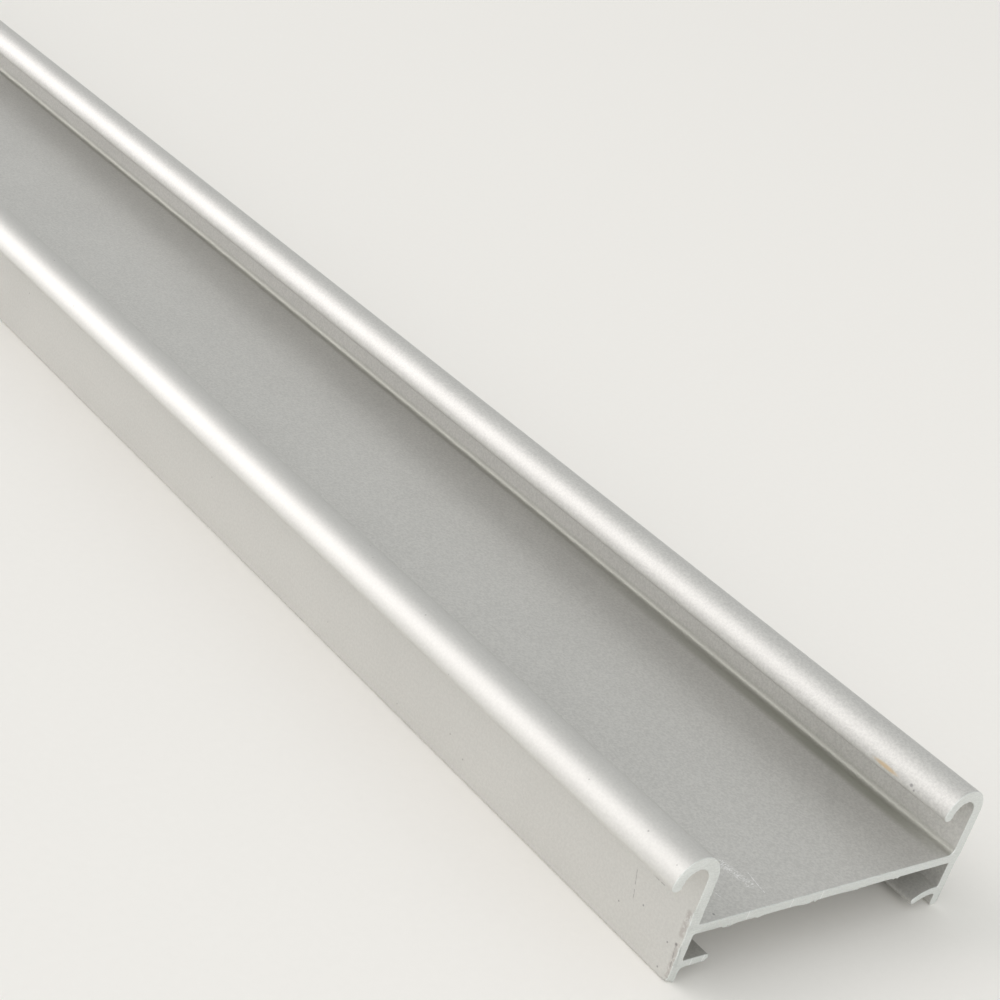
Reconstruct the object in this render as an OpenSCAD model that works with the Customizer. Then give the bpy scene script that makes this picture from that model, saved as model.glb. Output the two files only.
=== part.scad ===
// Aluminium extrusion profile: a wide flat web between two upright flanges. Each flange
// ends in a half-round hook above the web, and in a leg with an inward lip below it.
// The section lies in X and Z, the stock runs along Y, and it stands on its two feet.

/* [Stock] */
// Length that the stock is cut to
stock_length = 1000; // [100:50:3000]

/* [Flanges and web] */
// Distance from the left face of one flange to the left face of the other
flange_pitch = 52; // [30:0.5:120]
// Thickness of a flange above the web, and of its hook
flange_t = 1.8; // [1.5:0.1:3]
// Thickness of the web
web_t = 1.4; // [1:0.1:1.8]
// Radius of the rounded corner between the web and the right flange
web_fillet_r = 1; // [0.4:0.1:2]

/* [Hooks] */
// Inner radius of a hook
hook_inner_r = 2.2; // [1.5:0.1:4]
// Height of a hook's centre above the top of the web
hook_rise = 7; // [5:0.5:20]
// Angle by which a hook stops short of a half circle
hook_short_angle = 8; // [2:1:40]

/* [Legs and feet] */
// Thickness of a leg
leg_t = 1.5; // [1.1:0.1:1.5]
// Height of the top of the web above the feet
web_top_z = 8.7; // [8.7:0.1:20]
// Radius of the edges of a foot
foot_edge_r = 0.4; // [0.1:0.05:0.5]

/* [Lips] */
// Depth of the top of a lip below the top of the web
lip_drop = 5.5; // [4:0.1:5.7]
// Thickness of a lip
lip_t = 1.1; // [0.8:0.1:1.1]
// Reach of the flat left lip from its leg
left_lip_reach = 4.8; // [2:0.1:10]
// Radius of the top of the curved right lip
right_lip_r = 8.5; // [8:0.5:40]
// Angle that the right lip bends through
right_lip_bend = 28; // [5:1:30]
// Radius of the corner under a lip
under_lip_r = 0.6; // [0.2:0.1:0.8]

/* [Hidden] */
$fn = 96;
// Radius of a sharp inner corner as it leaves the die
die_corner_r = 0.3;
// Overlap that joins two shapes into one
joint = 0.1;
// Step in from the faces of a hook or a lip to the round of its tip
tip_step = 0.03;
// Straight start of the right lip, before it bends
right_lip_start = 0.7;
hook_outer_r = hook_inner_r + flange_t;
hook_mid_r = hook_inner_r + flange_t / 2;
hook_reach = hook_inner_r + hook_outer_r * cos(hook_short_angle);
overall_w = hook_reach + flange_pitch + flange_t;
left_flange_x = hook_reach - overall_w / 2;
right_flange_x = left_flange_x + flange_pitch;
web_bottom_z = web_top_z - web_t;
lip_top_z = web_top_z - lip_drop;
lip_bottom_z = lip_top_z - lip_t;

// The part of a ring between the angles from and to, measured from +X
module ring_sector(inner_r, outer_r, from, to) {
    reach = 2 * outer_r;
    steps = ceil((to - from) / 60);
    rim = [for (i = [0 : steps]) from + (to - from) * i / steps];
    intersection() {
        difference() {
            circle(r = outer_r);
            circle(r = inner_r);
        }
        polygon(concat([[0, 0]], [for (a = rim) [reach * cos(a), reach * sin(a)]]));
    }
}

// Material left in an inner corner whose walls run along +X and +Y
module corner_fillet(r) {
    difference() {
        translate([-joint, -joint]) square(r + joint);
        translate([r, r]) circle(r = r);
    }
}

// A half ring that curls over to the left, with a round tip
module hook() {
    end = 180 - hook_short_angle;
    ring_sector(hook_inner_r, hook_outer_r, 0, end);
    translate([hook_mid_r * cos(end), hook_mid_r * sin(end)])
        circle(r = flange_t / 2 - tip_step);
}

// A leg with both edges of its foot rounded
module leg() {
    translate([0, foot_edge_r]) square([leg_t, web_bottom_z - foot_edge_r]);
    translate([foot_edge_r, 0]) square([leg_t - 2 * foot_edge_r, web_bottom_z]);
    for (x = [foot_edge_r, leg_t - foot_edge_r])
        translate([x, foot_edge_r]) circle(r = foot_edge_r);
}

// One wall from foot to hook. Its left face is flat, at X = 0, and its right face draws in
// to the thickness of the leg across the web
module flange() {
    hook_z = web_top_z + hook_rise;
    leg();
    polygon([[0, web_bottom_z], [leg_t, web_bottom_z], [flange_t, web_top_z], [0, web_top_z]]);
    translate([0, web_top_z]) square([flange_t, hook_rise]);
    translate([-hook_inner_r, hook_z]) hook();
}

// The flat lip: it starts inside its leg and ends in a half circle
module left_lip() {
    straight = left_lip_reach - lip_t / 2;
    translate([-joint, lip_bottom_z]) square([straight + joint, lip_t]);
    translate([straight, lip_bottom_z + lip_t / 2]) circle(r = lip_t / 2);
}

// The curved lip: it leaves its leg level, bends down to the left and ends in a half circle
module right_lip() {
    mid_r = right_lip_r - lip_t / 2;
    end = 90 + right_lip_bend;
    translate([-right_lip_start, lip_bottom_z]) square([right_lip_start + joint, lip_t]);
    translate([-right_lip_start, lip_top_z - right_lip_r]) {
        ring_sector(right_lip_r - lip_t, right_lip_r, 90, end);
        translate([mid_r * cos(end), mid_r * sin(end)]) circle(r = lip_t / 2 - tip_step);
    }
}

module web() {
    translate([left_flange_x + joint, web_bottom_z])
        square([flange_pitch, web_t]);
}

module inner_corners() {
    left_x = left_flange_x + flange_t;
    left_leg_x = left_flange_x + leg_t;
    translate([left_x, web_top_z]) corner_fillet(die_corner_r);
    translate([left_leg_x, web_bottom_z]) mirror([0, 1]) corner_fillet(die_corner_r);
    translate([left_leg_x, lip_top_z]) corner_fillet(die_corner_r);
    translate([left_leg_x, lip_bottom_z]) mirror([0, 1]) corner_fillet(under_lip_r);
    translate([right_flange_x, web_top_z]) mirror([1, 0]) corner_fillet(web_fillet_r);
    translate([right_flange_x, web_bottom_z]) rotate(180) corner_fillet(die_corner_r);
    translate([right_flange_x, lip_top_z]) mirror([1, 0]) corner_fillet(die_corner_r);
    translate([right_flange_x, lip_bottom_z]) rotate(180) corner_fillet(under_lip_r);
}

module section() {
    web();
    inner_corners();
    for (x = [left_flange_x, right_flange_x]) translate([x, 0]) flange();
    translate([left_flange_x + leg_t, 0]) left_lip();
    translate([right_flange_x, 0]) right_lip();
}

module profile() {
    color([0.76, 0.76, 0.74])
        rotate([90, 0, 0])
            linear_extrude(height = stock_length, center = true)
                section();
}

profile();
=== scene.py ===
"""One metre of hooked aluminium channel, sawn to length, lying on its feet on a pale studio floor."""

import math

import bmesh
import bpy
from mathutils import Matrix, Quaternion, Vector


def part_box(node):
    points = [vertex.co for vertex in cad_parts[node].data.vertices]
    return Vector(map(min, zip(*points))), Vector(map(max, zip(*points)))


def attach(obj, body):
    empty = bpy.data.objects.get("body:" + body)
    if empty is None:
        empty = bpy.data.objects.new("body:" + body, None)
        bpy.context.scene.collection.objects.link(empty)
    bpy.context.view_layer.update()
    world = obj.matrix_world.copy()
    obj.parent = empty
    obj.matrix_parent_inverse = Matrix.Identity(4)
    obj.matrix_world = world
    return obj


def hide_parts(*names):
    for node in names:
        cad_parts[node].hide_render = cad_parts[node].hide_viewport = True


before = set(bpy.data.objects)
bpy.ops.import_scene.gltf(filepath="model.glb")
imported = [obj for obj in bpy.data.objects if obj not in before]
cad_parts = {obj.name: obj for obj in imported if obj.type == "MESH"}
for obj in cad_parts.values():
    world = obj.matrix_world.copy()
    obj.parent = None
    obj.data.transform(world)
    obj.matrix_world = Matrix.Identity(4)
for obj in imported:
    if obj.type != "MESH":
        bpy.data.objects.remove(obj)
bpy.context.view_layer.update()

MM = 0.001

# The section, in millimetres. It matches the solid that it stands for.
FLANGE_PITCH = 52.0
FLANGE = 1.8
LEG = 1.5
WEB = 1.4
WEB_BELOW_HOOK_CENTRE = 7.0
WEB_FILLET_R = 1.0
INNER_R = 0.3
HOOK_INNER_R = 2.2
HOOK_SHORT_OF_HALF_TURN = 8.0
HOOK_TIP_R = 0.87
LIP = 1.1
LIP_TOP_BELOW_WEB = 5.5
LIP_TIP_R = 0.52
UNDER_LIP_R = 0.6
LEFT_LIP_REACH = 4.8
RIGHT_LIP_FLAT = 0.7
RIGHT_LIP_R = 8.5
RIGHT_LIP_BEND = 28.0
FOOT_R = 0.4
SAWN_EDGE = 0.08

# How finely the surface is divided: lengths in millimetres, and counts of steps.
LONGEST_RUN = 0.24
HOOK_STEPS = 60
LIP_STEPS = 14
TIP_STEPS = 12
CORNER_STEPS = 8
END_RINGS = (0.12, 0.25, 0.4, 0.6, 0.9, 1.3, 1.8, 2.5, 3.5, 5.0, 8.0)

# Where the section's parts and the ends lie, in millimetres, worked out from the solid's box.
low, high = (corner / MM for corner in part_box("profile"))
HOOK_R = HOOK_INNER_R + FLANGE
HOOK_TURN = 180.0 - HOOK_SHORT_OF_HALF_TURN
HOOK_Z = high.z - HOOK_R
WEB_TOP = HOOK_Z - WEB_BELOW_HOOK_CENTRE
WEB_BOTTOM = WEB_TOP - WEB
LIP_TOP = WEB_TOP - LIP_TOP_BELOW_WEB
LIP_BOTTOM = LIP_TOP - LIP
RIGHT_X = high.x - FLANGE
LEFT_X = RIGHT_X - FLANGE_PITCH
FLANGES_X = (LEFT_X, RIGHT_X)
NEAR_END = low.y
FAR_END = high.y
FOOT = low.z

# Small distances in millimetres: taken as one place, merged into one point, left under the feet.
CLOSE = 0.01
MERGE = 0.004
FLOOR_GAP = 0.01

# Wear at the near end, in millimetres: burrs as (start, end, seed), knocks as (place, reach, push).
SAWN_RAGGED = 0.04
BURR = 0.17
BURR_RAGGED = 0.11
KNOCK_SHARES = (1.0, 0.75, 0.5, 0.3)
WEB_BURRS = ((-17.6, -14.8, 2), (-12.0, -9.5, 5), (-3.0, 1.5, 6), (6.0, 11.0, 7), (15.5, 17.5, 9))
KNOCKS = (
    ((LEFT_X, NEAR_END, 10.7), 0.6, (0.25, 0.35, 0.0)),
    ((LEFT_X, NEAR_END, 9.8), 0.5, (0.22, 0.30, 0.0)),
    ((LEFT_X, NEAR_END, 8.3), 0.6, (0.12, 0.20, 0.0)),
    ((LEFT_X, NEAR_END, 5.3), 0.7, (0.12, 0.20, 0.0)),
    ((LEFT_X, NEAR_END, 3.1), 0.5, (0.08, 0.15, 0.0)),
    ((LEFT_X, NEAR_END, FOOT), 1.0, (0.20, 0.40, 0.25)),
    ((LEFT_X + LEG + LEFT_LIP_REACH, NEAR_END, LIP_BOTTOM), 0.5, (-0.15, 0.20, 0.10)),
    ((RIGHT_X + FLANGE, NEAR_END, FOOT), 0.6, (-0.15, 0.25, 0.15)),
)

# The turn in degrees that makes a crease, and how squarely a sawn face looks along the stock.
SHARP_ANGLE = 35.0
SQUARE_TO_END = 0.5

# The finishes. Colours are linear.
METAL = 0.68
SATIN_ROUGHNESS = 0.44
SATIN_DARK = (0.54, 0.537, 0.516, 1)
SATIN_LIGHT = (0.76, 0.755, 0.726, 1)
SAWN_DARK = (0.66, 0.68, 0.66, 1)
SAWN_LIGHT = (0.80, 0.82, 0.80, 1)
SCUFF_COLOUR = (0.95, 0.95, 0.95, 1)
DARK_COLOUR = (0.12, 0.11, 0.12, 1)
SMEAR_COLOUR = (0.40, 0.36, 0.34, 1)
STAIN_COLOUR = (0.66, 0.46, 0.20, 1)
# Painted shade: the dark olive colour of the shade painted into the corner under the right hook.
PAINTED_SHADE_COLOUR = (0.36, 0.365, 0.31, 1)
SAWN_ROUGHNESS = 0.5
FLOOR_ROUGHNESS = 0.9

# The patterns in the finishes: how many to the millimetre, all round or along x, y and z, and
# their depths in millimetres.
GRAIN_PER_MM = 2.6
GRAIN_DEPTH = 0.012
CALM_ON_LEFT_FACE = 0.55
DIE_LINES_PER_MM = (5.0, 0.01, 5.0)
DIE_LINE_DEPTH = 0.01
CLOUDS_PER_MM = 0.05
SAW_LINES_PER_MM = (0.6, 1.0, 9.0)
SAW_LINE_DEPTH = 0.02
SAWN_GRAIN_PER_MM = 4.0
FIBRES_PER_MM = 0.8
SCUFF_DASHES_PER_MM = (2.6, 8.0, 1.0)
BREAKS_PER_MM = 2.0
SMEAR_BREAKS_PER_MM = 2.5
SPECKS_PER_MM = 0.3

# Where the wear and the painted shade are, in millimetres.
SCUFF_RUN = ((-9.6, -491.0, WEB_TOP), (-8.8, -495.8, WEB_TOP))
SCUFF_WIDTH = 2.2
SCRATCH_WIDTH = 0.22
LIGHT_SCRATCHES = (
    ((-7.2, -493.9, WEB_TOP), (-7.6, -496.0, WEB_TOP)),
    ((-7.5, -495.2, WEB_TOP), (-7.9, -497.7, WEB_TOP)),
    ((-15.0, -495.3, WEB_TOP), (-14.9, -496.5, WEB_TOP)),
)
DARK_SCRATCHES = (
    ((LEFT_X, -489.8, 9.7), (LEFT_X, -490.3, 7.9)),
    ((LEFT_X, -490.5, 7.2), (LEFT_X, -490.8, 6.0)),
    ((LEFT_X, -492.3, 10.9), (LEFT_X, -494.4, 10.9)),
    ((LEFT_X, -499.2, 5.6), (LEFT_X, -499.8, 1.2)),
)
DARK_NICKS = (
    ((-18.4, -498.9, WEB_TOP), 0.25),
    ((22.1, -493.3, 16.7), 0.35),
    ((22.1, -494.0, 16.3), 0.25),
    ((LEFT_X, -488.9, 4.2), 0.18),
    ((LEFT_X, -492.6, 6.4), 0.2),
    ((LEFT_X, -497.9, 4.9), 0.2),
    ((LEFT_X, -497.9, 1.1), 0.2),
    ((LEFT_X, -499.2, 5.6), 0.3),
)
SMEARS = (
    ((LEFT_X, -499.45, 5.6), (LEFT_X, -499.7, 1.0), 1.1),
    ((LEFT_X, -499.3, 10.4), (LEFT_X, -499.4, 7.2), 1.3),
    ((LEFT_X, -500.0, 0.0), (LEFT_X + 0.8, -500.0, 0.0), 1.0),
)
STAIN_MIDDLE = (22.1, -488.6, 16.5)
STAIN_RADII = (0.9, 3.0, 0.42)
# Painted shade: an olive band on the web under the right hook. It is darkest near the sawn end and fades
# along the stock.
HOOK_SHADE_RUN = ((26.7, NEAR_END, WEB_TOP), (27.0, -380.0, WEB_TOP))
HOOK_SHADE_WIDTH = 4.8
HOOK_SHADE_FADES = (-395.0, -475.0)
HOOK_SHADE_STARTS = (-503.0, -488.0)
HOOK_SHADE_HEIGHTS = (0.6, 0.1)
# Painted shade: a thin darker line along the whole corner between the web and the right flange, laid over
# the fillet's bright line.
CORNER_SHADE_RUN = ((RIGHT_X - 0.2, NEAR_END, WEB_TOP + 0.2), (RIGHT_X - 0.2, FAR_END, WEB_TOP + 0.2))
CORNER_SHADE_WIDTH = 2.4
SPECK_RADIUS = 0.1667
SAW_SCORES = (
    (-13.0, WEB_BOTTOM, WEB_TOP), (-4.8, WEB_BOTTOM, WEB_TOP), (1.1, WEB_BOTTOM, WEB_TOP),
    (-20.7, LIP_BOTTOM, LIP_TOP), (-18.5, LIP_BOTTOM, LIP_TOP),
)
SCORE_WIDTH = 0.28
SCORE_LEAN = 0.1

# How strongly each mark shows, from 0 to 1.
LIGHT_SCRATCH_STRENGTH = 0.8
SPECK_STRENGTH = 0.4
DARK_SCRATCH_STRENGTH = 0.4
NICK_STRENGTH = 0.55
SMEAR_STRENGTH = 0.5
STAIN_STRENGTH = 0.6
# The next two set how strongly the painted shade in the corner under the right hook shows.
HOOK_SHADE_STRENGTH = 0.75
CORNER_SHADE_STRENGTH = 0.6
SCORE_STRENGTH = 0.6

# The studio, in metres and degrees: strengths, and half the angle that each light spans.
FLOOR_SIZE = 40.0
FLOOR_DARK = (0.90, 0.887, 0.85, 1)
FLOOR_LIGHT = (0.92, 0.907, 0.87, 1)
SKY = 0.59
SKY_TINT = (0.985, 1.0, 0.99, 1)
LAMP_TINT = (1.0, 0.955, 0.96, 1)
STRIP = 0.5
STRIP_TURN = 120.0
STRIP_HALF_WIDTH = 33.0
GLOW = 2.3
GLOW_HEADING = (-0.55, 0.78, 0.3)
GLOW_HALF_WIDTH = 36.0
FILL_PLACE = (-0.7, -2.0, 0.4)
FILL_AIM = (0, -0.5, 0)
FILL_SIZE = 1.2
FILL_POWER = 9

# The camera, in millimetres and degrees.
CAMERA_PLACE = Vector((-200.93, -619.33, 147.24))
CAMERA_AIM = Vector((23.78, -401.44, 8.7))
CAMERA_ROLL = 18.346
CAMERA_LENS = 74.59
CAMERA_NEAREST = 10.0


# --- Modelling ----------------------------------------------------------------------------------


def close(value, target):
    return abs(value - target) < CLOSE


def pick(kind, test):
    """Selects each vertex, edge or face whose middle, in millimetres, passes the test."""
    bpy.ops.mesh.select_all(action="DESELECT")
    bpy.ops.mesh.select_mode(type=kind)
    shape = bmesh.from_edit_mesh(bpy.context.object.data)
    if kind == "VERT":
        found = [vertex for vertex in shape.verts if test(vertex.co / MM)]
    elif kind == "EDGE":
        found = [edge for edge in shape.edges if test((edge.verts[0].co + edge.verts[1].co) / 2 / MM)]
    else:
        found = [face for face in shape.faces if test(face.calc_center_median() / MM)]
    for item in found:
        item.select_set(True)
    bmesh.update_edit_mesh(bpy.context.object.data)
    return len(found)


def draw_out(x=0.0, y=0.0, z=0.0):
    """Extrudes what is selected by a distance in millimetres."""
    move = {"value": Vector((x, y, z)) * MM}
    bpy.ops.mesh.extrude_region_move(TRANSFORM_OT_translate=move)


def sweep(centre_x, centre_z, degrees, steps):
    """Spins the selected edge about a lengthwise axis, over the top and to the left."""
    centre = Vector((centre_x, NEAR_END, centre_z)) * MM
    bpy.ops.mesh.spin(steps=steps, angle=math.radians(degrees), center=centre, axis=(0, 1, 0))


def round_selected_corners(radius, steps=CORNER_STEPS):
    bpy.ops.mesh.bevel(offset=radius * MM, segments=steps, affect="VERTICES")


def in_a_flange(x):
    return any(flange_x < x < flange_x + FLANGE for flange_x in FLANGES_X)


def draw_web_and_flanges():
    """Draws the web, flanges and legs as a flat sheet in the near end's plane."""
    bpy.ops.object.select_all(action="DESELECT")
    bpy.ops.mesh.primitive_plane_add(size=1, rotation=(math.pi / 2, 0, 0))
    sheet = bpy.context.object
    sheet.scale = (FLANGE * MM, WEB * MM, 1)
    sheet.location = Vector((LEFT_X + FLANGE / 2, NEAR_END, WEB_TOP - WEB / 2)) * MM
    bpy.ops.object.transform_apply(location=True, rotation=True, scale=True)
    bpy.ops.object.mode_set(mode="EDIT")
    pick("EDGE", lambda p: close(p.x, LEFT_X + FLANGE))
    draw_out(x=FLANGE_PITCH - FLANGE)
    draw_out(x=FLANGE)
    pick("EDGE", lambda p: close(p.z, WEB_TOP) and in_a_flange(p.x))
    draw_out(z=WEB_BELOW_HOOK_CENTRE)
    pick("EDGE", lambda p: close(p.z, WEB_BOTTOM) and in_a_flange(p.x))
    for start, end in ((WEB_BOTTOM, LIP_TOP), (LIP_TOP, LIP_BOTTOM), (LIP_BOTTOM, FOOT)):
        draw_out(z=end - start)
    pick("VERT", lambda p: p.z < WEB_BOTTOM + CLOSE and any(close(p.x, x + FLANGE) for x in FLANGES_X))
    bpy.ops.transform.translate(value=((LEG - FLANGE) * MM, 0, 0))
    pick("VERT", lambda p: close(p.z, FOOT))
    round_selected_corners(FOOT_R)
    return sheet


def draw_lips():
    """Draws the straight left lip and the drooping right lip out of the legs."""
    pick("EDGE", lambda p: close(p.x, LEFT_X + LEG) and LIP_BOTTOM < p.z < LIP_TOP)
    draw_out(x=LEFT_LIP_REACH)
    round_selected_corners(LIP_TIP_R, TIP_STEPS)
    pick("EDGE", lambda p: close(p.x, RIGHT_X) and LIP_BOTTOM < p.z < LIP_TOP)
    draw_out(x=-RIGHT_LIP_FLAT)
    sweep(RIGHT_X - RIGHT_LIP_FLAT, LIP_TOP - RIGHT_LIP_R, RIGHT_LIP_BEND, LIP_STEPS)
    droop = math.radians(RIGHT_LIP_BEND)
    draw_out(x=-LIP_TIP_R * math.cos(droop), z=-LIP_TIP_R * math.sin(droop))
    round_selected_corners(LIP_TIP_R, TIP_STEPS)


def draw_hooks():
    """Spins each flange's top edge over into a hook with a round tip."""
    for flange_x in FLANGES_X:
        pick("EDGE", lambda p: close(p.z, HOOK_Z) and flange_x < p.x < flange_x + FLANGE)
        sweep(flange_x - HOOK_INNER_R, HOOK_Z, HOOK_TURN, HOOK_STEPS)
        draw_out(z=-HOOK_TIP_R)
        round_selected_corners(HOOK_TIP_R, TIP_STEPS)


def round_inner_corners():
    """Makes the sheet one face, then rounds each inner corner of the section."""
    bpy.ops.mesh.select_all(action="SELECT")
    bpy.ops.mesh.dissolve_faces()
    corners = {
        INNER_R: (
            (LEFT_X + FLANGE, WEB_TOP), (LEFT_X + LEG, WEB_BOTTOM), (RIGHT_X, WEB_BOTTOM),
            (LEFT_X + LEG, LIP_TOP), (RIGHT_X, LIP_TOP),
        ),
        UNDER_LIP_R: ((LEFT_X + LEG, LIP_BOTTOM), (RIGHT_X, LIP_BOTTOM)),
        WEB_FILLET_R: ((RIGHT_X, WEB_TOP),),
    }
    for radius, places in corners.items():
        pick("VERT", lambda p: any(close(p.x, x) and close(p.z, z) for x, z in places))
        round_selected_corners(radius)
    bpy.ops.mesh.select_all(action="SELECT")
    bpy.ops.mesh.remove_doubles(threshold=MERGE * MM)


def divide_long_runs():
    """Halves the section's straight sides until none is too long for end wear to act on."""
    sheet = bpy.context.object.data
    while True:
        bpy.ops.mesh.select_all(action="DESELECT")
        bpy.ops.mesh.select_mode(type="EDGE")
        shape = bmesh.from_edit_mesh(sheet)
        long_edges = [edge for edge in shape.edges if edge.calc_length() > LONGEST_RUN * MM]
        if not long_edges:
            return
        for edge in long_edges:
            edge.select_set(True)
        bmesh.update_edit_mesh(sheet)
        bpy.ops.mesh.subdivide(number_cuts=1, ngon=True)


def draw_length():
    """Draws the section along the stock, with rings of points close together at both ends."""
    length = FAR_END - NEAR_END
    rings = [SAWN_EDGE, *(SAWN_EDGE + ring for ring in END_RINGS)]
    stations = [*rings, *(length - ring for ring in reversed(rings))]
    bpy.ops.mesh.select_all(action="SELECT")
    bpy.ops.transform.translate(value=(0, SAWN_EDGE * MM, 0))
    for start, end in zip(stations, stations[1:]):
        draw_out(y=end - start)
    bpy.ops.mesh.select_all(action="SELECT")
    bpy.ops.mesh.normals_make_consistent(inside=False)


def chamfer_ends():
    """Draws each end out to its sawn face, a little smaller all round, and roughens its outline."""
    for end, seed in ((NEAR_END, 4), (FAR_END, 8)):
        ring = end + math.copysign(SAWN_EDGE, -end)
        pick("FACE", lambda p: close(p.y, ring))
        bpy.ops.mesh.inset(thickness=SAWN_EDGE * MM, depth=SAWN_EDGE * MM)
        pick("VERT", lambda p: close(p.y, end))
        bpy.ops.transform.vertex_random(offset=SAWN_RAGGED * MM, uniform=1.0, normal=0.0, seed=seed)
        bpy.ops.transform.resize(value=(1, 0, 1), center_override=(0, end * MM, 0))


def knock(middle, reach, move):
    """Pushes the surface in about a point, most at the point itself. All in millimetres."""
    for share in KNOCK_SHARES:
        if pick("VERT", lambda p: (p - Vector(middle)).length < reach * share):
            bpy.ops.transform.translate(value=Vector(move) * MM / len(KNOCK_SHARES))


def raise_burr(start_x, end_x, seed):
    """Drags the lower sawn edge of the web down into a thin ragged burr."""
    half = (end_x - start_x) / 2
    middle = start_x + half
    for share in KNOCK_SHARES:
        found = pick("VERT", lambda p: p.y < NEAR_END + SAWN_EDGE / 2 and abs(p.x - middle) < half * share
                     and WEB_BOTTOM - BURR < p.z < WEB_BOTTOM + WEB / 4)
        if found:
            bpy.ops.transform.translate(value=(0, 0, -BURR * MM / len(KNOCK_SHARES)))
            bpy.ops.transform.vertex_random(offset=BURR_RAGGED * MM, uniform=1.0, normal=0.0, seed=seed)
            bpy.ops.transform.resize(value=(1, 0, 1), center_override=(0, NEAR_END * MM, 0))


def wear_near_end():
    """The burrs and knocks that this length has at its near end."""
    for start_x, end_x, seed in WEB_BURRS:
        raise_burr(start_x, end_x, seed)
    for middle, reach, move in KNOCKS:
        knock(middle, reach, move)


def build_profile():
    profile = draw_web_and_flanges()
    profile.name = "extruded_profile"
    profile.data.name = profile.name
    draw_lips()
    draw_hooks()
    round_inner_corners()
    divide_long_runs()
    draw_length()
    chamfer_ends()
    wear_near_end()
    bpy.ops.object.mode_set(mode="OBJECT")
    bpy.ops.object.shade_smooth_by_angle(angle=math.radians(SHARP_ANGLE))
    return profile


# --- Shading ------------------------------------------------------------------------------------


class Signal:
    """A socket of a shader tree. Sums and products of signals add their Math nodes."""

    def __init__(self, tree, socket=None):
        self.tree = tree
        self.socket = socket

    def node(self, kind, settings=(), values=(), output=0):
        """Adds a node, sets it up, sets or links its sockets, and gives back one of its outputs."""
        node = self.tree.nodes.new("ShaderNode" + kind)
        for name, setting in dict(settings).items():
            setattr(node, name, setting)
        for name, value in dict(values).items():
            if isinstance(value, Signal):
                self.tree.links.new(value.socket, node.inputs[name])
            else:
                node.inputs[name].default_value = value
        return Signal(self.tree, node.outputs[output] if node.outputs else None)

    def math(self, operation, *values):
        return self.node("Math", {"operation": operation}, enumerate(values))

    def __add__(self, other):
        return self.math("ADD", self, other)

    def __sub__(self, other):
        return self.math("SUBTRACT", self, other)

    def __mul__(self, other):
        return self.math("MULTIPLY", self, other)

    def __truediv__(self, other):
        return self.math("DIVIDE", self, other)

    def __rsub__(self, other):
        return self.math("SUBTRACT", other, self)

    __radd__ = __add__
    __rmul__ = __mul__

    def ramp(self, low, high, start=0.0, end=1.0):
        """Runs smoothly from start to end as the signal runs from low to high."""
        settings = {"interpolation_type": "SMOOTHSTEP"}
        values = {"Value": self, "From Min": low, "From Max": high, "To Min": start, "To Max": end}
        return self.node("MapRange", settings, values)

    def within_limits(self):
        """Keeps the signal between 0 and 1."""
        return self.node("Clamp", values={"Value": self})

    def axis(self, index):
        """One part of a vector: 0, 1 or 2 for x, y or z."""
        return self.node("SeparateXYZ", values={0: self}, output=index)

    def stretched(self, x, y, z):
        return self.node("VectorMath", {"operation": "MULTIPLY"}, {0: self, 1: (x, y, z)})

    def less(self, other):
        """One vector less another."""
        return self.node("VectorMath", {"operation": "SUBTRACT"}, {0: self, 1: other})

    def length(self):
        return self.node("VectorMath", {"operation": "LENGTH"}, {0: self}, output="Value")

    def dot(self, other):
        return self.node("VectorMath", {"operation": "DOT_PRODUCT"}, {0: self, 1: other}, output="Value")


def mix_colour(first, second, share):
    """Goes from the first colour to the second as the share goes from 0 to 1."""
    return share.node("Mix", {"data_type": "RGBA"}, {0: share, 6: first, 7: second}, output=2)


def noise(place, scale, detail=2.0, roughness=0.5):
    values = {"Vector": place, "Scale": scale, "Detail": detail, "Roughness": roughness}
    return place.node("TexNoise", {"noise_dimensions": "3D"}, values)


def bump(height, distance, strength=1.0, under=None):
    """Turns a height from 0 to 1 into a normal. The distance is in millimetres."""
    values = {"Height": height, "Distance": distance * MM, "Strength": strength}
    if under is not None:
        values["Normal"] = under
    return height.node("Bump", values=values)


def strongest(marks):
    """The greatest of several marks, each from 0 to 1."""
    result = marks[0]
    for mark in marks[1:]:
        result = result.math("MAXIMUM", result, mark)
    return result


def spot(place, middle, radii):
    """A soft mark from 1 in the middle to 0 at the radii."""
    return place.less(middle).stretched(*(1 / radius for radius in radii)).length().ramp(1.0, 0.3)


def scratch(place, start, end, width):
    """A straight mark between two points, 1 along its middle and 0 at half its width."""
    run = Vector(end) - Vector(start)
    from_start = place.less(start)
    share = from_start.dot(run / run.length_squared).within_limits()
    nearest = place.node("VectorMath", {"operation": "SCALE"}, {0: run, "Scale": share})
    return from_start.less(nearest).length().ramp(width / 2, width / 8)


def new_finish(name):
    """A new material, and a signal to start its nodes from."""
    material = bpy.data.materials.new(name)
    material.use_nodes = True
    material.node_tree.nodes.clear()
    return material, Signal(material.node_tree)


def place_in_mm(start):
    """Where a point of the piece is, in millimetres."""
    where = start.node("TexCoord", output="Object")
    return start.node("VectorMath", {"operation": "SCALE"}, {0: where, "Scale": 1 / MM})


def surface(start, values):
    """Ends a material in one Principled surface."""
    shader = start.node("BsdfPrincipled", values=values)
    start.node("OutputMaterial", values={"Surface": shader})


def light_marks(place):
    """The white scuffs and fine scratches on the web."""
    dashes = noise(place.stretched(*SCUFF_DASHES_PER_MM), 1.0, detail=4.0, roughness=0.7).ramp(0.50, 0.58)
    scuff = dashes * scratch(place, *SCUFF_RUN, SCUFF_WIDTH)
    broken = noise(place, BREAKS_PER_MM).ramp(0.35, 0.55)
    fine = strongest([scratch(place, *run, SCRATCH_WIDTH) for run in LIGHT_SCRATCHES])
    return strongest([scuff, LIGHT_SCRATCH_STRENGTH * broken * fine])


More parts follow.
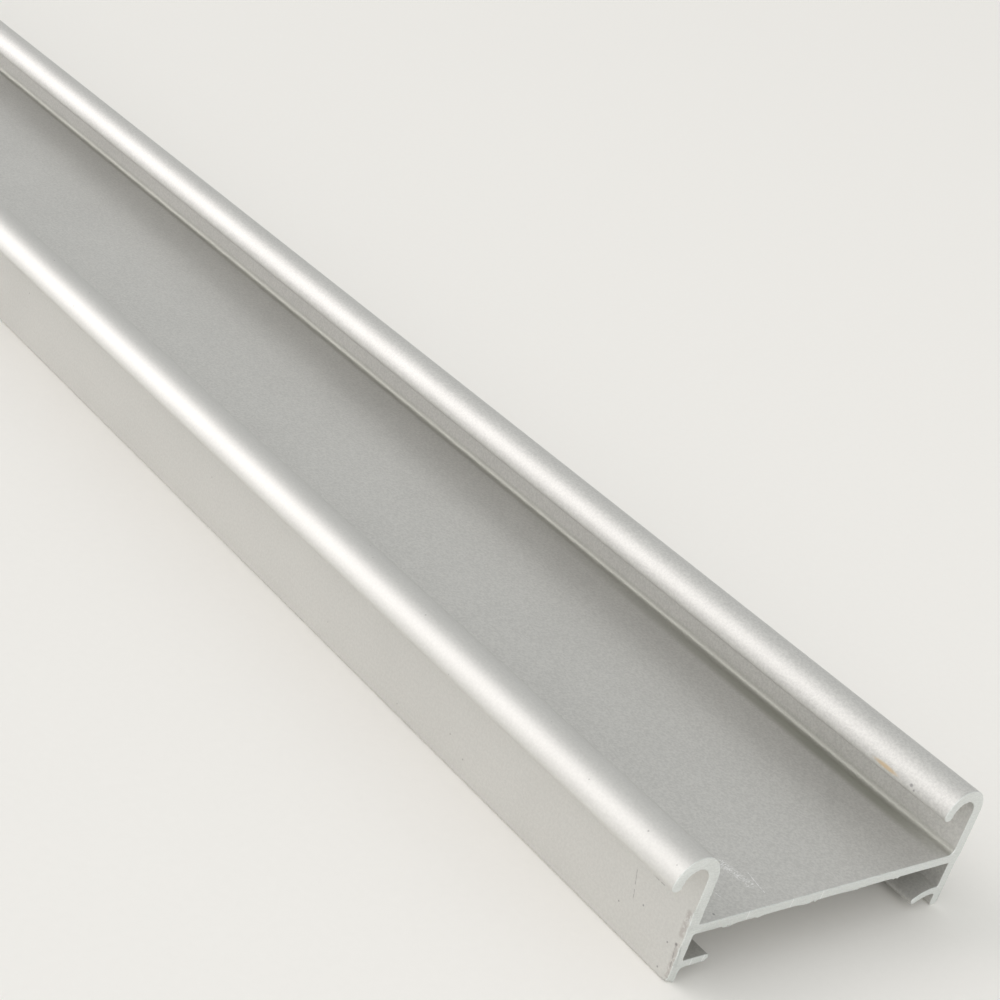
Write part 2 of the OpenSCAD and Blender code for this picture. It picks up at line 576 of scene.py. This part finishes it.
def on_left_face(place):
    """1 on the left flange's outer face and to its left, 0 elsewhere."""
    return (0 - place.axis(0)).ramp(-LEFT_X - 0.3, -LEFT_X - 0.1)


def dark_marks(place):
    """The dark specks, nicks and thin scratches, mostly on the left flange's outer face."""
    broken = noise(place, BREAKS_PER_MM).ramp(0.35, 0.6)
    cells = {"Vector": place, "Scale": SPECKS_PER_MM, "Randomness": 1.0}
    specks = place.node("TexVoronoi", {"feature": "F1"}, cells, output="Distance")
    reach = SPECK_RADIUS * SPECKS_PER_MM
    marks = [SPECK_STRENGTH * specks.ramp(reach, reach / 2) * on_left_face(place)]
    broken_up = DARK_SCRATCH_STRENGTH * broken
    marks += [broken_up * scratch(place, *run, SCRATCH_WIDTH) for run in DARK_SCRATCHES]
    marks += [NICK_STRENGTH * spot(place, middle, (radius,) * 3) for middle, radius in DARK_NICKS]
    return strongest(marks)


def painted_corner_shade(place):
    """Painted shade in the corner between the web and the right flange: an olive band under the hook that
    fades along the stock, and a thin darker line along the whole corner.
    """
    fading = place.axis(1).ramp(*HOOK_SHADE_FADES) * place.axis(1).ramp(*HOOK_SHADE_STARTS)
    on_web = (place.axis(2) - WEB_TOP).ramp(*HOOK_SHADE_HEIGHTS)
    hook_shade = fading * on_web * scratch(place, *HOOK_SHADE_RUN, HOOK_SHADE_WIDTH)
    corner_shade = scratch(place, *CORNER_SHADE_RUN, CORNER_SHADE_WIDTH)
    return strongest([HOOK_SHADE_STRENGTH * hook_shade, CORNER_SHADE_STRENGTH * corner_shade])


def smears(place):
    """The brownish smears along the left flange's sawn edge."""
    ragged = noise(place, SMEAR_BREAKS_PER_MM, detail=3.0).ramp(0.35, 0.6)
    return ragged * strongest([scratch(place, *run) for run in SMEARS])


def satin_aluminium():
    """The drawn faces: fine even satin with faint lines along the stock, its wear, and painted shade in
    the corner under the right hook.
    """
    material, start = new_finish("satin_aluminium")
    place = place_in_mm(start)
    grain = noise(place, GRAIN_PER_MM, detail=2.0, roughness=0.7).ramp(0.3, 0.7)
    grain = 0.5 + (grain - 0.5) * (1 - CALM_ON_LEFT_FACE * on_left_face(place))
    die_lines = noise(place.stretched(*DIE_LINES_PER_MM), 1.0, detail=3.0)
    cloud = noise(place, CLOUDS_PER_MM, detail=2.0)
    tone = grain * 0.5 + die_lines * 0.15 + cloud * 0.3
    colour = mix_colour(SATIN_DARK, SATIN_LIGHT, tone)
    # Painted shade darkens the corner between the web and the right flange.
    colour = mix_colour(colour, PAINTED_SHADE_COLOUR, painted_corner_shade(place))
    colour = mix_colour(colour, SMEAR_COLOUR, smears(place) * SMEAR_STRENGTH)
    stain = spot(place, STAIN_MIDDLE, STAIN_RADII)
    colour = mix_colour(colour, STAIN_COLOUR, stain * STAIN_STRENGTH)
    light = light_marks(place)
    colour = mix_colour(colour, SCUFF_COLOUR, light)
    colour = mix_colour(colour, DARK_COLOUR, dark_marks(place))
    roughness = SATIN_ROUGHNESS + 0.08 * grain + 0.05 * die_lines + 0.15 * light
    lined = bump(die_lines, DIE_LINE_DEPTH, 0.3)
    surface(start, {
        "Base Color": colour,
        "Metallic": METAL,
        "Roughness": roughness,
        "Normal": bump(grain, GRAIN_DEPTH, 1.0, under=lined),
    })
    return material


def sawn_aluminium():
    """The cut ends: matte, with fine lines from the saw and a few light score marks."""
    material, start = new_finish("sawn_aluminium")
    place = place_in_mm(start)
    lines = noise(place.stretched(*SAW_LINES_PER_MM), 1.0, detail=3.0).ramp(0.3, 0.7)
    grain = noise(place, SAWN_GRAIN_PER_MM, detail=2.0).ramp(0.3, 0.7)
    colour = mix_colour(SAWN_DARK, SAWN_LIGHT, 0.5 * lines + 0.5 * grain)
    across = place.stretched(1, 0, 1)
    scores = strongest([scratch(across, (x, 0, low), (x + SCORE_LEAN, 0, high), SCORE_WIDTH)
                        for x, low, high in SAW_SCORES])
    surface(start, {
        "Base Color": mix_colour(colour, SCUFF_COLOUR, scores * SCORE_STRENGTH),
        "Metallic": METAL,
        "Roughness": SAWN_ROUGHNESS + 0.1 * grain,
        "Normal": bump(lines, SAW_LINE_DEPTH, 0.5),
    })
    return material


def floor_paper():
    """Plain matte paper with a faint mottle."""
    material, start = new_finish("floor_paper")
    place = place_in_mm(start)
    fibre = noise(place, FIBRES_PER_MM, detail=3.0)
    surface(start, {
        "Base Color": mix_colour(FLOOR_DARK, FLOOR_LIGHT, fibre),
        "Roughness": FLOOR_ROUGHNESS,
        "Specular IOR Level": 0.1,
    })
    return material


# --- Studio -------------------------------------------------------------------------------------


def light_sky():
    """An even pale sky, a wide soft strip of light along the stock's upper left, and a glow behind."""
    world = bpy.data.worlds.new("studio")
    bpy.context.scene.world = world
    world.use_nodes = True
    world.node_tree.nodes.clear()
    start = Signal(world.node_tree)
    heading = start.node("TexCoord", output="Generated")
    across = heading.node("VectorMath", {"operation": "NORMALIZE"}, {0: heading.stretched(1, 0, 1)})
    turn = math.radians(STRIP_TURN)
    toward_strip = across.dot((math.cos(turn), 0, math.sin(turn)))
    toward_glow = heading.dot(GLOW_HEADING)
    strip = STRIP * toward_strip.ramp(math.cos(math.radians(STRIP_HALF_WIDTH)), 1.0)
    glow = GLOW * toward_glow.ramp(math.cos(math.radians(GLOW_HALF_WIDTH)), 1.0)
    lamps = strip + glow
    strength = SKY + lamps
    tint = mix_colour(SKY_TINT, LAMP_TINT, lamps / strength)
    background = start.node("Background", values={"Color": tint, "Strength": strength})
    start.node("OutputWorld", values={"Surface": background})


def add_light(name, place, aim, size, power):
    bpy.ops.object.light_add(type="AREA", location=place)
    light = bpy.context.object
    light.name = name
    light.data.size = size
    light.data.energy = power
    light.rotation_euler = (Vector(aim) - Vector(place)).to_track_quat("-Z", "Y").to_euler()
    light.visible_camera = False


def add_floor():
    bpy.ops.mesh.primitive_plane_add(size=FLOOR_SIZE, location=(0, 0, (FOOT - FLOOR_GAP) * MM))
    floor = bpy.context.object
    floor.name = "studio_floor"
    floor.data.materials.append(floor_paper())


def add_camera():
    bpy.ops.object.camera_add(location=CAMERA_PLACE * MM)
    camera = bpy.context.object
    camera.data.lens = CAMERA_LENS
    camera.data.clip_start = CAMERA_NEAREST * MM
    camera.rotation_mode = "QUATERNION"
    look = (CAMERA_AIM - CAMERA_PLACE).to_track_quat("-Z", "Y")
    camera.rotation_quaternion = look @ Quaternion((0, 0, 1), math.radians(CAMERA_ROLL))
    bpy.context.scene.camera = camera


# --- Scene --------------------------------------------------------------------------------------


profile = build_profile()
profile.data.materials.append(satin_aluminium())
profile.data.materials.append(sawn_aluminium())
for face in profile.data.polygons:
    if abs(face.normal.y) > SQUARE_TO_END:
        face.material_index = 1
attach(profile, "root")
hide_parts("profile")

add_floor()
light_sky()
add_light("front_fill", FILL_PLACE, FILL_AIM, FILL_SIZE, FILL_POWER)
add_camera()
bpy.context.scene.view_settings.view_transform = "Standard"
